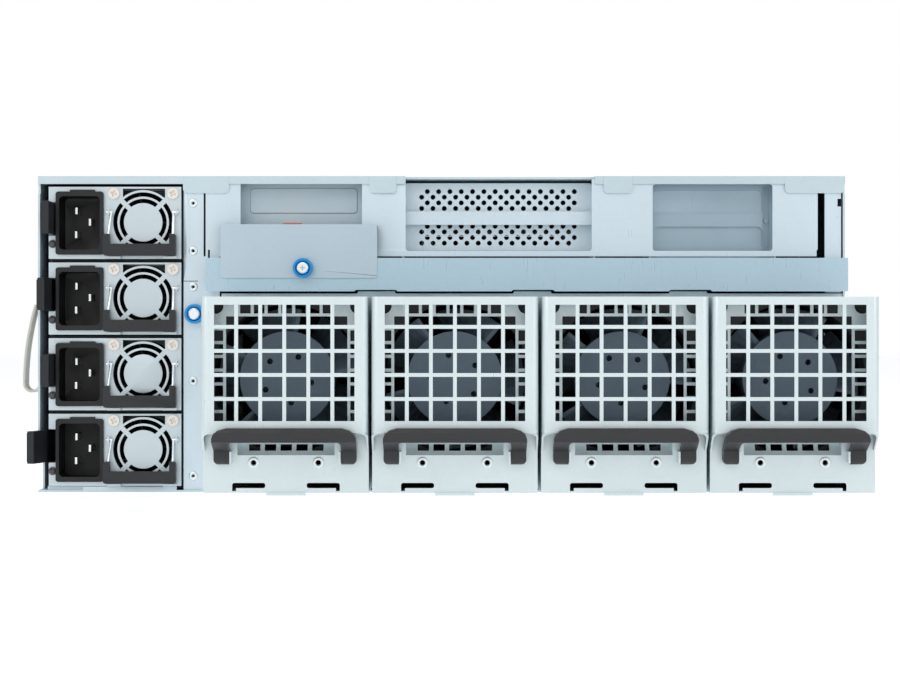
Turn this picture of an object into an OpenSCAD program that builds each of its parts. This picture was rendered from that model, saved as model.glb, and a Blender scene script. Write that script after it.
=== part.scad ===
// Rack server, four units high, with rear fan modules and stacked power supplies.
// Frame: X across the rack, Y from the rear (-Y) to the front (+Y), Z up.
// The origin is the middle of the underside of the chassis floor.

/* [Chassis] */
// Depth from the rear panel to the front panel
chassis_l = 695; // [670:5:760]
// Thickness of the steel sheet
sheet = 1.2; // [1:0.1:1.5]
// Gap around pieces that slide or lift
slide_gap = 0.4; // [0.3:0.05:0.5]
// Room from the deck under the mainboard to the top of the cover
deck_room = 45.5; // [45:0.5:52]

/* [Rear panel] */
// Width of the strip between the power supplies and the fans
strip_w = 20; // [18:0.5:26]
// Corner radius of the windows
window_r = 1.7; // [1:0.1:3]
// Depth of the recesses behind the windows
recess_l = 38; // [30:1:45]

/* [Power supplies] */
// Width of a power supply
psu_w = 73.5; // [72.5:0.5:84]
// Depth of a power supply
psu_l = 265; // [240:5:280]
// Gap between two power supplies
psu_gap = 2; // [1.7:0.1:2.5]
// Height of the lowest power supply above the floor's underside
psu_z = 3.5; // [3.3:0.1:4]
// Room for the latches between the side wall and the power supplies
latch_gap = 4.8; // [4.5:0.1:6]
// Wall of the power supply case
psu_wall = 1; // [0.8:0.1:1.2]
// Outward swing of each latch at rest, top to bottom
latch_swing = [0, 4, 0, 14]; // [0:1:14]

/* [Fan modules] */
// Side of the square fans
fan_size = 80; // [76:1:92]
// Depth of a fan
fan_l = 76; // [56:1:78]
// Diameter of the fan's hub
hub_d = 49; // [44:0.5:52]
// Turn of each fan's hub at rest, left to right
hub_turn = [63, 33, 51, 42]; // [0:1:71]
// Gap between two fan modules
mod_gap = 1.8; // [1.5:0.1:2.5]
// Underside of the fan modules above the floor's underside
fan_z = 6.1; // [5.7:0.1:7]
// How far a fan module stands out behind the chassis
mod_out = 105; // [100:1:112]
// How far a fan module reaches into the chassis
mod_in = 50; // [45:1:55]
// Sheet of the fan modules
mod_t = 1; // [0.8:0.1:1.2]
// Depth of the step above the bail
step_d = 12; // [11.5:0.1:13]
// Height of that step above the module's underside
step_z = 31.4; // [31:0.1:32.5]
// Side of the square grille holes
grille_hole = 10.3; // [9:0.1:10.5]
// Bar between two grille holes
grille_bar = 1.9; // [1.5:0.1:2.5]

/* [Front] */
// Span over the rack ears
ear_span = 482.6; // [482:0.1:483]
// Distance between the rack screws, upwards
rack_z = 101.6; // [101.2:0.1:102]
// Diameter of the holes for the rack screws
rack_hole_d = 7; // [6.4:0.1:7.2]
// Width of a drive carrier
drive_w = 103; // [102.5:0.5:104]
// Height of a drive carrier
drive_h = 28; // [27:0.5:32]
// Depth of a drive carrier
drive_l = 160; // [155:1:170]

/* [Hidden] */

// Smoothness of round parts
$fn = 32;
// Width added to a cutter so that it breaks through
eps = 1;
// Radial clearance of a pin or shaft in its hole
run_gap = 0.05;
// Gap between neighbouring pieces of different bodies
air = 0.3;
// Gap between plates of one piece that are hooked or riveted together
seam = 0.05;

// Fan modules: the housing outside, the part that slides in, and the height
mod_w = fan_size + 4.8;
mod_in_w = fan_size + 3.6;
mod_h = fan_size + 20.5;
fan_pitch = mod_w + mod_gap;
fan_top = fan_z + mod_h;

// Across the rear: power supplies, strip and fan modules side by side
strip_gap = 1.2;
side_gap = 1.5;
stack_w = latch_gap + psu_w + strip_gap + strip_w + side_gap;
chassis_w = 2*sheet + stack_w + 4*mod_w + 3*mod_gap;
psu_x = -chassis_w/2 + sheet + latch_gap;
psu_right = psu_x + psu_w;
strip_x = psu_right + strip_gap;
strip_right = strip_x + strip_w;
fan_x = strip_right + side_gap + mod_w/2;

// Up the rear: fan modules, crossbar and deck
deck_z = fan_top + 23.4;
chassis_h = deck_z + deck_room;
psu_pitch = (chassis_h - psu_z - 4)/4;
psu_h = psu_pitch - psu_gap;

rear_y = -chassis_l/2;
front_y = chassis_l/2;
right_in = chassis_w/2 - sheet;
cover_z = chassis_h - sheet;
panel_top = cover_z - air;
panel_y = rear_y + sheet + air;
// Faces of the plates that stand just inside the rear panel
inner_y0 = panel_y + sheet;

// Cover: rear flange, hook tabs and the notch over the middle window
flange_h = 4.4;
tab_h = 9.5;
tab_bottom = chassis_h - tab_h;
tabs = [
    [strip_x - 0.2, strip_x + 25.3], [-40, -25], [90, 106],
    [chassis_w/2 - 33.4, chassis_w/2 - 0.3]
];
cover_cut = [-20, 85];
cover_cut_l = 8;
skirt_h = 4;

// ---------------------------------------------------------------- helpers

// A box given by its two corners
module span(a, b) {
    translate(a) cube(b - a);
}

// A flat outline drawn in X and Z, made into a plate from y to y + t
module upright(y, t) {
    translate([0, y + t, 0]) rotate([90, 0, 0]) linear_extrude(t) children();
}

// A flat outline drawn in Y and Z, made into a plate from x to x + t
module side_on(x, t) {
    translate([x, 0, 0]) rotate([90, 0, 90]) linear_extrude(t) children();
}

// A cylinder along Y that starts at y
module rod_y(x, y, z, d, l) {
    translate([x, y + l, z]) rotate([90, 0, 0]) cylinder(d = d, h = l);
}

// A cylinder along X that starts at x
module rod_x(x, y, z, d, l) {
    translate([x, y, z]) rotate([0, 90, 0]) cylinder(d = d, h = l);
}

// A centred rectangle with round corners
module round_rect(w, h, r) {
    square([w - 2*r, h], center = true);
    square([w, h - 2*r], center = true);
    for (x = [-1, 1], y = [-1, 1]) {
        translate([x*(w/2 - r), y*(h/2 - r)]) circle(r);
    }
}

// A rectangle with round corners given by two opposite corners
module round_span(a, b, r) {
    translate((a + b)/2) round_rect(b[0] - a[0], b[1] - a[1], r);
}

// A slot with round ends, centred, lying along X
module slot_2d(w, h) {
    round_rect(w, h, h/2 - 0.001);
}

// ------------------------------------------------------------ chassis base

// Rail screw places along each side wall, from the middle of the chassis
rail_y = [-chassis_l/2 + 60, 0, chassis_l/2 - 60];
// Height of the rail screws and the diameter of their clearance holes
rail_z = deck_z - 42;
rail_hole_d = 4.2;
// Stiffening beads pressed into the floor
bead_w = 8;
bead_h = 1.5;
bead_x = [-90, 0, 90, 180];
// Folded edges under the lowest power supply: end of the set-back part, sill and its end
sill_x = [psu_x - 1, psu_x + 19, psu_x + 71];
sill_top = psu_z - air;
// Height of the cut-out in the left wall beside the lowest latch
wall_cut_h = 16;
wall_cut_l = 14;

module chassis_base() {
    color("lightsteelblue") {
        union() {
            span([-chassis_w/2, rear_y, 0], [chassis_w/2, front_y, sheet]);
            floor_beads();
            rear_sill();
        }
        side_wall(0);
        scale_x(-1) side_wall(wall_cut_l);
    }
}

// Mirrors its children to the other side when s is -1
module scale_x(s) {
    mirror([s < 0 ? 1 : 0, 0, 0]) children();
}

// Side wall riveted on the floor's edge, with a notch that lets the cover's rear flange past
// and its lower rear corner taken off over the given length
module side_wall(corner_l) {
    difference() {
        span([right_in, rear_y, sheet + seam], [chassis_w/2, front_y, cover_z]);
        span([right_in - eps, rear_y - eps, tab_bottom - air],
            [chassis_w/2 + eps, rear_y + sheet + air, cover_z + eps]);
        if (corner_l > 0) {
            span([right_in - eps, rear_y - eps, 0], [chassis_w/2 + eps, rear_y + corner_l, wall_cut_h]);
        }
        for (y = rail_y) {
            rod_x(right_in - eps, y, rail_z, rail_hole_d, sheet + 2*eps);
        }
    }
}

module floor_beads() {
    for (x = bead_x) {
        span([x - bead_w/2, rear_y + 90, sheet], [x + bead_w/2, front_y - 40, sheet + bead_h]);
    }
}

module rear_sill() {
    span([sill_x[0], rear_y + 2*sheet, 0], [sill_x[1], rear_y + 3*sheet, sill_top]);
    span([sill_x[1], rear_y, 0], [sill_x[2], rear_y + sheet, sill_top]);
}

// -------------------------------------------------------------- rear panel

io_wall = [strip_x + 13.3, chassis_w/2 - 15];
io_wall_z = deck_z + 1;
post = [chassis_w/2 - 11.1, chassis_w/2 - 2];
post_foot = 20;
window_top = chassis_h - 3.3;
window_z = deck_z + 4;
windows = [
    [[-111.7, window_z], [-44.2, window_top]],
    [[-20, window_z], [83.5, chassis_h + 5]],
    [[117.3, window_z], [183.9, window_top - 1.2]]
];
// Dimples down the strip, each with a small hole
dimple_z = [chassis_h - 15, deck_z + 4, deck_z - 16, 61.7, 9];
dimple_x = strip_x + 5.3;
dimple_d = 5;
dimple_depth = 0.25;
dimple_hole_d = 1.3;
// Seam between the strip's lower and upper part
strip_seam_z = deck_z - 13;
strip_seam_w = 9;
// Thin cuts: beside the strip's upper part, and at the ends of the wall's lower edge
slit_w = 1.1;
slit_h = 35;
corner_cut = [1.3, 3.6];
// Notch in the right edge of the post
post_notch = [2, 4.3];

module rear_panel() {
    color("azure") difference() {
        upright(panel_y, sheet) rear_outline();
        for (z = dimple_z) {
            rod_y(dimple_x, panel_y - eps, z, dimple_hole_d, sheet + 2*eps);
            rod_y(dimple_x, panel_y - eps, z, dimple_d, dimple_depth + eps);
        }
        rod_y(strip_screw[0], panel_y - eps, strip_screw[1], screw_hole_d, sheet + 2*eps);
    }
}

module rear_outline() {
    difference() {
        union() {
            translate([strip_x, sheet]) square([strip_w, panel_top - sheet]);
            translate([strip_x, io_wall_z])
                square([post[1] - strip_x, panel_top - io_wall_z]);
            translate([post[0], io_wall_z - post_foot]) square([post[1] - post[0], post_foot + 1]);
        }
        for (w = windows) {
            round_span(w[0], w[1], window_r);
        }
        // Gap between the wall and the post
        translate([io_wall[1], io_wall_z - eps]) square([post[0] - io_wall[1], slit_h + 2*eps]);
        translate([io_wall[1] - 0.6, io_wall_z - eps]) square([corner_cut[0], corner_cut[1] + eps]);
        // Cuts in the strip
        translate([strip_x - eps, strip_seam_z]) square([strip_seam_w, 0.4]);
        translate([strip_x + 11.1, io_wall_z]) square([slit_w, slit_h]);
        translate([io_wall[0] + 0.2, io_wall_z - eps]) square([slit_w, corner_cut[1] + eps]);
        translate([post[1] - post_notch[0], tab_bottom - 7.3]) square([post_notch[0] + eps, post_notch[1]]);
    }
}

// ------------------------------------------------------- power supply cage

cage_t = 1;
// Left faces of the walls either side of the stack of power supplies
psu_cage_x = [psu_x - slide_gap - cage_t, psu_right + slide_gap];
shelf_set_back = 4;
// Room beside the latches, in front of the cage's left wall
latch_room = 20;
// Back wall, from the rear panel's plane
psu_back_y = rear_y + psu_l + 10;

module psu_cage() {
    color("lightslategray") {
        span([psu_cage_x[0], rear_y + latch_room, sheet],
            [psu_cage_x[0] + cage_t, psu_back_y - seam, panel_top]);
        span([psu_cage_x[1], inner_y0 + air, sheet],
            [psu_cage_x[1] + cage_t, psu_back_y - seam, panel_top]);
        for (i = [0:3]) {
            psu_shelf(psu_z + i*psu_pitch - psu_gap/2);
        }
        span([psu_cage_x[0], psu_back_y, sheet], [psu_cage_x[1] + cage_t, psu_back_y + cage_t, panel_top]);
    }
}

module psu_shelf(z) {
    span([psu_cage_x[0] + cage_t + seam, rear_y + shelf_set_back, z - cage_t/2],
        [psu_cage_x[1] - seam, psu_back_y - seam, z + cage_t/2]);
}

// ---------------------------------------------------------------- fan cage

fan_cage_l = mod_in + 4;
fan_edge = fan_pitch/2;
fan_cage_x = strip_x + 2;
// Heights of the plates over and under the modules
cage_floor = fan_z - air;
cage_roof = fan_top + air;
// Lip along the roof's rear edge, with a tab over each gap between modules
lip_top = fan_top + 3.8;
lip_tab_w = 20.4;
lip_tab_h = 1.2;
foot_w = 12;

module fan_cage() {
    color("slategray") {
        span([fan_cage_x, inner_y0, cage_floor - sheet], [right_in, rear_y + fan_cage_l, cage_floor]);
        span([fan_cage_x, inner_y0 + seam, cage_roof], [right_in, rear_y + fan_cage_l, cage_roof + sheet]);
        // Dividers between the modules
        for (i = [0:3]) {
            x = fan_x - fan_edge + i*fan_pitch;
            span([x - cage_t/2, inner_y0, cage_floor + seam],
                [x + cage_t/2, rear_y + fan_cage_l, cage_roof - seam]);
        }
        // Feet down to the floor
        for (x = [fan_x - 30, fan_x + fan_pitch*1.5, fan_x + fan_pitch*3 + 30]) {
            span([x - foot_w/2, rear_y + 12, sheet],
                [x + foot_w/2, rear_y + fan_cage_l - 10, cage_floor - sheet - seam]);
        }
        upright(panel_y, sheet) cage_lip();
    }
}

module cage_lip() {
    translate([strip_right + 1, cage_roof]) square([right_in - strip_right - 1, lip_top - cage_roof]);
    for (i = [1:3]) {
        translate([fan_x - fan_edge + i*fan_pitch, lip_top]) polygon([
            [-lip_tab_w/2 - 1, -eps], [lip_tab_w/2 + 1, -eps],
            [lip_tab_w/2, lip_tab_h], [-lip_tab_w/2, lip_tab_h]
        ]);
    }
}

// ---------------------------------------------------------------- crossbar

bar_x = [strip_x + 13.6, chassis_w/2 - 0.1];
bar_z = [fan_top + 4.7, deck_z - air];
bar_y = rear_y - 10;
// Notches in the lower edge above the gaps between the modules
notch_w = 22;
notch_h = 0.9;

module crossbar() {
    color("lightblue") difference() {
        union() {
            upright(bar_y, sheet) crossbar_outline();
            for (z = [bar_z[0] + notch_h, bar_z[1] - sheet]) {
                span([bar_x[0], bar_y, z], [right_in, panel_y, z + sheet]);
            }
        }
        rod_y(cover_screw[0], bar_y - eps, cover_screw[1], screw_hole_d, sheet + 2*eps);
    }
}

module crossbar_outline() {
    difference() {
        translate([bar_x[0], bar_z[0]]) square([bar_x[1] - bar_x[0], bar_z[1] - bar_z[0]]);
        for (i = [1:3]) {
            translate([fan_x - fan_edge + i*fan_pitch, bar_z[0]]) polygon([
                [-notch_w/2 - notch_h - eps, -eps], [notch_w/2 + notch_h + eps, -eps],
                [notch_w/2, notch_h], [-notch_w/2, notch_h]
            ]);
        }
    }
}

// --------------------------------------------------------------- deck tray

fin_t = 1;
drive_x = [-right_in + 17.8, -right_in + 124.8];
drive_z = deck_z + air;
// Front end of the deck, and where its left part begins
deck_front = front_y - 20;
deck_left_y = rear_y + psu_l + 40;
deck_split_x = psu_cage_x[1] + cage_t + air;

module deck_tray() {
    color("silver") {
        span([deck_split_x, inner_y0, deck_z - sheet], [right_in, deck_front, deck_z]);
        span([-right_in, deck_left_y, deck_z - sheet], [deck_split_x - seam, deck_front, deck_z]);
        // Walls of the recesses behind the windows
        for (w = windows, x = [w[0][0] - 2*fin_t, w[1][0] + fin_t]) {
            span([x, inner_y0, deck_z + seam], [x + fin_t, inner_y0 + recess_l, window_top]);
        }
        // Guides of the drive carriers
        for (x = drive_x, g = [x - air - fin_t, x + drive_w + air]) {
            span([g, front_y - drive_l - 10, deck_z + seam], [g + fin_t, front_y - 2*sheet, deck_z + drive_h]);
        }
    }
}

// --------------------------------------------------------------- top cover

module top_cover() {
    color("lightsteelblue") {
        difference() {
            cover_shell();
            span([cover_cut[0], rear_y - eps, cover_z - flange_h],
                [cover_cut[1], rear_y + cover_cut_l, chassis_h + eps]);
            for (t = tabs) {
                span([t[0] - seam, rear_y - eps, tab_bottom],
                    [t[1] + seam, rear_y + sheet + seam, chassis_h + eps]);
            }
        }
        upright(rear_y, sheet) for (t = tabs) {
            round_span([t[0], tab_bottom], [t[1], chassis_h], 2.5);
            translate([t[0], chassis_h - flange_h]) square([t[1] - t[0], flange_h]);
        }
    }
}

// The cover's sheet with its rear flange and its side skirts
module cover_shell() {
    span([-chassis_w/2, rear_y, cover_z], [chassis_w/2, front_y, chassis_h]);
    for (s = [-1, 1]) {
        scale_x(s) span([right_in - air - sheet, rear_y + 12, chassis_h - skirt_h],
            [right_in - air, front_y - 30, cover_z + 0.1]);
    }
    span([-chassis_w/2, rear_y, chassis_h - flange_h], [chassis_w/2, rear_y + sheet, chassis_h]);
}

// ------------------------------------------------------------- cover plate

plate_x = [-121.6, -35.4];
plate_z = [deck_z - 11.5, deck_z + 18.2];
plate_y = bar_y - sheet;
plate_r = 1.7;
cover_screw = [-76, deck_z - 6];
strip_screw = [strip_x + 6.3, deck_z - 31];
screw_ring_d = 10.8;
screw_head_d = 6.6;
screw_hole_d = 4.4;
screw_core_d = 4;

module cover_plate() {
    color("aliceblue") difference() {
        union() {
            upright(plate_y, sheet) {
                round_span([plate_x[0], plate_z[0]], [plate_x[1], plate_z[1]], plate_r);
                translate([plate_x[0], plate_z[1] - 5]) square([plate_x[1] - plate_x[0], 5]);
            }
            span([plate_x[0], plate_y, plate_z[1] - sheet], [plate_x[1], panel_y - air, plate_z[1]]);
        }
        rod_y(cover_screw[0], plate_y - eps, cover_screw[1], screw_hole_d, sheet + 2*eps);
    }
}

module captive_screws() {
    color("dodgerblue") {
        thumbscrew(cover_screw[0], plate_y, cover_screw[1]);
        thumbscrew(strip_screw[0], panel_y, strip_screw[1]);
    }
}

// A ringed screw that stands on a face at y and reaches through it
module thumbscrew(x, y, z) {
    difference() {
        rod_y(x, y - 5, z, screw_ring_d, 5);
        rod_y(x, y - 5 - eps, z, screw_head_d + 1.4, 2 + eps);
    }
    rod_y(x, y - 6, z, screw_head_d, 4);
    rod_y(x, y - 0.1, z, screw_core_d, 2);
}

// ------------------------------------------------- pieces in the windows

blank_y = inner_y0 + 12;

module io_blank() {
    w = windows[0];
    color("gainsboro") {
        upright(blank_y, sheet) translate([w[0][0] - fin_t, deck_z])
            square([w[1][0] - w[0][0] + 2*fin_t, window_top - deck_z]);
        upright(blank_y - 1, 1.1)
            round_span([w[0][0] + 4.4, w[0][1] + 21.7], [w[1][0] - 3.2, w[1][1] - 2.7], 2);
    }
}

pull_tab_x = [-89.5, -76.8];

module pull_tab() {
    color("coral") upright(blank_y - 10, 10)
        round_span([pull_tab_x[0], plate_z[1] - 4], [pull_tab_x[1], plate_z[1] + 1.5], 2);
}

perf_d = 2.8;
perf_pitch = 6.37;
perf_row = 3.17;
perf_cols = 14;
perf_rows = 4;
// Middle of the two slots, above the deck
slot_mid = [13.8, 33.35];
slot_half = 9;
slot_t = 0.9;
cover_y = inner_y0 + 16;

module slot_covers() {
    w = windows[1];
    x = (w[0][0] + w[1][0])/2;
    color("whitesmoke") {
        for (m = slot_mid) {
            upright(cover_y, slot_t) difference() {
                round_span([w[0][0] - fin_t, deck_z + m - slot_half], [w[1][0] + fin_t, deck_z + m + slot_half + 0.4], 1);
                translate([x, deck_z + m]) perforation();
            }
        }
        // Bar in front of the covers
        upright(cover_y - 8, slot_t) translate([w[0][0] - fin_t, deck_z + slot_mid[0] + 5.2])
            square([w[1][0] - w[0][0] + 2*fin_t, 7.4]);
    }
}

// Rows of round holes, every other row moved by half a pitch
module perforation() {
    for (r = [0:perf_rows - 1], c = [0:perf_cols - 1]) {
        translate([
            (c - (perf_cols - 1)/2 + (r % 2)/2 - 1/4)*perf_pitch,
            (r - (perf_rows - 1)/2)*perf_row
        ]) circle(d = perf_d, $fn = 16);
    }
}

bracket_y = inner_y0 + 10;
bracket_t = 3;
pocket_depth = 2;
// Lower and upper edges of the two pockets above the deck
pockets = [[5.6, 18], [25.4, 38.3]];

module slot_bracket() {
    w = windows[2];
    channel = w[1][0] - 4;
    color("gainsboro") {
        difference() {
            upright(bracket_y, bracket_t) translate([w[0][0] - fin_t, deck_z])
                square([w[1][0] - w[0][0] + 2*fin_t, window_top - deck_z]);
            upright(bracket_y - eps, pocket_depth + eps) {
                for (p = pockets) {
                    round_span([w[0][0] + 1.6, deck_z + p[0]], [channel - 0.2, deck_z + p[1]], 3);
                }
                translate([channel + 0.1, deck_z]) square([3.7, window_top - deck_z - 2]);
            }
        }
        // Screw in the channel
        rod_y(channel + 2.2, bracket_y, deck_z + 21.3, 2.7, bracket_t - 0.5);
    }
}

// ------------------------------------------------------------- electronics

board_z = deck_z + 4;
board_t = 1.6;
board_x = [strip_x + 13.3, chassis_w/2 - 9];
board_y = [rear_y + 50, 150];
standoff_d = 6;

module mainboard() {
    color("darkgreen") {
        span([board_x[0], board_y[0], board_z], [board_x[1], board_y[1], board_z + board_t]);
        for (u = [0:3], y = [board_y[0] + 15, board_y[1] - 15]) {
            x = board_x[0] + 10 + u*(board_x[1] - board_x[0] - 20)/3;
            translate([x, y, deck_z]) cylinder(d = standoff_d, h = board_z - deck_z);
        }
    }
}

// Left edges of the groups of memory modules
memory_x = [board_x[0] + 5, (board_x[0] + board_x[1])/2 - 34.5, board_x[1] - 40];
sink_x = [memory_x[1] - 48, memory_x[2] - 50];
sink_w = 78;
sink_l = 108;
sink_h = 25;
sink_base = 8;
sink_fins = 13;

module cpu_heatsinks() {
    color("silver") for (x = sink_x) {
        translate([x - sink_w/2, -40, board_z + board_t]) {
            cube([sink_w, sink_l, sink_base]);
            for (i = [0:sink_fins - 1]) {
                translate([i*(sink_w - fin_t)/(sink_fins - 1), 0, sink_base - 0.1]) cube([fin_t, sink_l, sink_h]);
            }
        }
    }
}

dimm_l = 133.35;
dimm_h = 31;
dimm_pitch = 9.4;
dimm_socket = [6, 5];
dimm_t = 1.4;

module memory_modules() {
    color("seagreen") for (g = memory_x, i = [0:3]) {
        translate([g + i*dimm_pitch, -52, board_z + board_t]) {
            cube([dimm_socket[0], dimm_l, dimm_socket[1]]);
            translate([2, 0, dimm_socket[1] - 0.1]) cube([dimm_t, dimm_l, dimm_h]);
        }
    }
}

gpu_board_z = fan_z + 4;
gpu_board_t = 2;
gpu_board_x = [strip_x + 3.3, right_in - 4];
gpu_pitch = fan_pitch/2 - 2.7;
gpu_l = 267;
gpu_h = deck_z - 26;
gpu_t = gpu_pitch - 2.6;
gpu_y = rear_y + fan_cage_l + 14;
gpu_x = fan_x - fan_edge + 6;
// Height of the slot connector under a card
gpu_slot_h = 6;
// Baffle in front of the cards, with an opening for each card's air
baffle_y = gpu_y + gpu_l + 50;
baffle_t = 1.6;

module gpu_board() {
    color("darkgreen") {
        span([gpu_board_x[0], gpu_y - 6, gpu_board_z],
            [gpu_board_x[1], baffle_y + 10, gpu_board_z + gpu_board_t]);
        for (u = [0:2], y = [gpu_y + 10, baffle_y - 10]) {
            x = gpu_board_x[0] + 10 + u*(gpu_board_x[1] - gpu_board_x[0] - 20)/2;
            translate([x, y, sheet]) cylinder(d = standoff_d, h = gpu_board_z - sheet);
        }
        upright(baffle_y, baffle_t) gpu_baffle();
    }
}

module gpu_baffle() {
    z = gpu_board_z + gpu_board_t + seam;
    difference() {
        translate([gpu_board_x[0], z])
            square([gpu_board_x[1] - gpu_board_x[0], deck_z - sheet - air - z]);
        for (i = [0:7]) {
            translate([gpu_x + i*gpu_pitch + 8, gpu_board_z + 20]) square([gpu_t - 12, gpu_h - 30]);
        }
    }
}

module gpu_cards() {
    color("dimgray") for (i = [0:7]) {
        translate([gpu_x + i*gpu_pitch, gpu_y, gpu_board_z + gpu_board_t]) gpu_card();
    }
}

// A passively cooled card: shroud, circuit board, cold plate and a dense stack of fins
module gpu_card() {
    w = gpu_t;
    fins = [30, gpu_l - 30];
    translate([0, 0, gpu_slot_h]) {
        difference() {
            cube([w, gpu_l, gpu_h]);
            translate([1.5, -eps, 1.5]) cube([w - 3, gpu_l + 2*eps, gpu_h - 3]);
        }
        translate([1.4, 1, 1.4]) cube([1.8, gpu_l - 2, gpu_h - 2.8]);
        translate([3.1, fins[0], 8]) cube([4, fins[1] - fins[0], gpu_h - 16]);
        translate([7, fins[0] + 12, 8]) cube([w - 8.4, fins[1] - fins[0] - 24, gpu_h - 16]);
        for (i = [0:8]) {
            translate([7, fins[0], 8 + i*(gpu_h - 17)/8]) cube([w - 8.4, fins[1] - fins[0], 1]);
        }
    }
    translate([1.4, 60, 0]) cube([8, 89, gpu_slot_h + 0.1]);
}

// ------------------------------------------------------------------- front

hex_af = 11;
hex_pitch = 13.5;
intake_z = [14, 120];
button_x = 195;
button_z = 152;
button_d = 12;

module front_panel() {
    color("dimgray") {
        difference() {
            upright(front_y - sheet, sheet) difference() {
                translate([-right_in, sheet]) square([2*right_in, panel_top - sheet]);
                for (x = drive_x) {
                    translate([x - air, deck_z]) square([drive_w + 2*air, drive_h + 2*air]);
                }
                intake_holes();
            }
            rod_y(button_x, front_y - sheet - eps, button_z, button_d + 2*air, sheet + 2*eps);
        }
        // Barrel behind the power button
        difference() {
            rod_y(button_x, front_y - sheet - 10, button_z, button_d + 5, 10.1);
            rod_y(button_x, front_y - sheet - 8, button_z, button_d + 2*air, 9);
        }
    }
}

module intake_holes() {
    rows = floor((intake_z[1] - intake_z[0])/(hex_pitch*sqrt(3)/2));
    for (p = [-162, -54, 54, 162], r = [0:rows - 1], c = [0:6 - r % 2]) {
        translate([
            p + (c - 3 + (r % 2)/2)*hex_pitch,
            intake_z[0] + hex_af/2 + r*hex_pitch*sqrt(3)/2
        ]) rotate(30) circle(d = hex_af/cos(30), $fn = 6);
    }
}

ear_t = 2.5;
ear_in = 206;
grip_x = 216;
grip_z = 50;
grip_d = 8;
grip_l = 36;
grip_r = 9;
// Distance between the rack screws, across
rack_x = ear_span - 17.5;

module rack_ears() {
    color("dimgray") for (s = [-1, 1]) {
        scale_x(s) rack_ear();
    }
}

module rack_ear() {
    mid_z = chassis_h/2;
    difference() {
        upright(front_y, ear_t) difference() {
            round_span([ear_in, 0], [ear_span/2, chassis_h], 2);
            if (button_x + button_d > ear_in) {
                translate([button_x, button_z]) circle(d = button_d + 6);
            }
        }
        for (k = [-1, 1]) {
            rod_y(rack_x/2, front_y - eps, mid_z + k*rack_z/2, rack_hole_d, ear_t + 2*eps);
        }
    }
    for (k = [-1, 1]) {
        rod_y(grip_x, front_y + ear_t - 0.1, mid_z + k*grip_z, grip_d, grip_l - grip_r + 0.1);
        translate([grip_x, front_y + ear_t + grip_l - grip_r, mid_z + k*(grip_z - grip_r)])
            grip_corner(k);
    }
    translate([grip_x, front_y + ear_t + grip_l, mid_z - grip_z + grip_r])
        cylinder(d = grip_d, h = 2*(grip_z - grip_r));
}

// Quarter bend that joins a post of the grip to its bar
module grip_corner(k) {
    mirror([0, 0, k < 0 ? 1 : 0]) rotate([0, -90, 0]) rotate_extrude(angle = 90)
        translate([grip_r, 0]) circle(d = grip_d);
}

module power_button() {
    color("gainsboro") {
        rod_y(button_x, front_y - sheet - 5, button_z, button_d, sheet + 5 + 1.5);
    }
}

module drive_1() {
    color("gray") drive_carrier(drive_x[0]);
}

module drive_2() {
    color("gray") drive_carrier(drive_x[1]);
}

module drive_carrier(x) {
    w = drive_w;
    translate([x, front_y - drive_l, drive_z]) {
        translate([1.2, 4, 1]) cube([w - 2.4, drive_l - 22, drive_h - 3]);
        difference() {
            translate([0, drive_l - 20, 0]) cube([w, 20 + 6, drive_h]);
            translate([w - 34, drive_l - 18, 4]) cube([28, 30, drive_h - 8]);
            for (i = [0:7]) {
                translate([5 + i*7, drive_l - 18, 4]) cube([4, 30, drive_h - 8]);
            }
        }
        translate([w - 34.1, drive_l - 8, drive_h/2 - 4]) cube([28.2, 10, 8]);
    }
}

// ---------------------------------------------------------- power supplies

inlet = [[4.1, 2.3], [30.6, 37.3]];
socket = [[6, 5.1], [28.6, 34.7]];
socket_r = 2.5;
socket_l = 20;
grille_at = [52.4, psu_h - 19.7];
// Radii of the stamped fan grille: disc, inner ring, outer ring
disc_r = 10.7;
ring_in = [13.1, 14.3];
ring_out = 16.7;
grille_r = 17.9;
spoke_w = 2.6;
psu_fan_d = 35;
psu_fan_y = 14;
psu_fan_l = 20;
// Handle: a moulded grip on two wires that turn in ears on the case
handle_x = [30.9, 71];
handle_bar = [1.6, 8.2];
handle_top = 13.7;
handle_leg = 3.4;
handle_y = -6.5;
handle_t = 5.5;
wire_d = 1.4;
wire_foot = [-3.6, 11.7];
wire_pivot = [-2.2, 25.8];
// Left and right wire: where it leaves the grip, where it turns, start of its pin, ear
wires = [[33.2, 35.1, 32.3, 33.2], [69.3, 69.5, 68.9, 70.8]];
pin_l = 3.4;
ear_w = 0.8;
pin_d = 2;
screw_x = [36.3, 69];
latch_pivot = [2.2, 14];
latch_arm_t = 1.4;
latch_z = [13.3, 31.1];

module at_psu(n) {
    translate([psu_x, rear_y, psu_z + (4 - n)*psu_pitch]) children();
}

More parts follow.
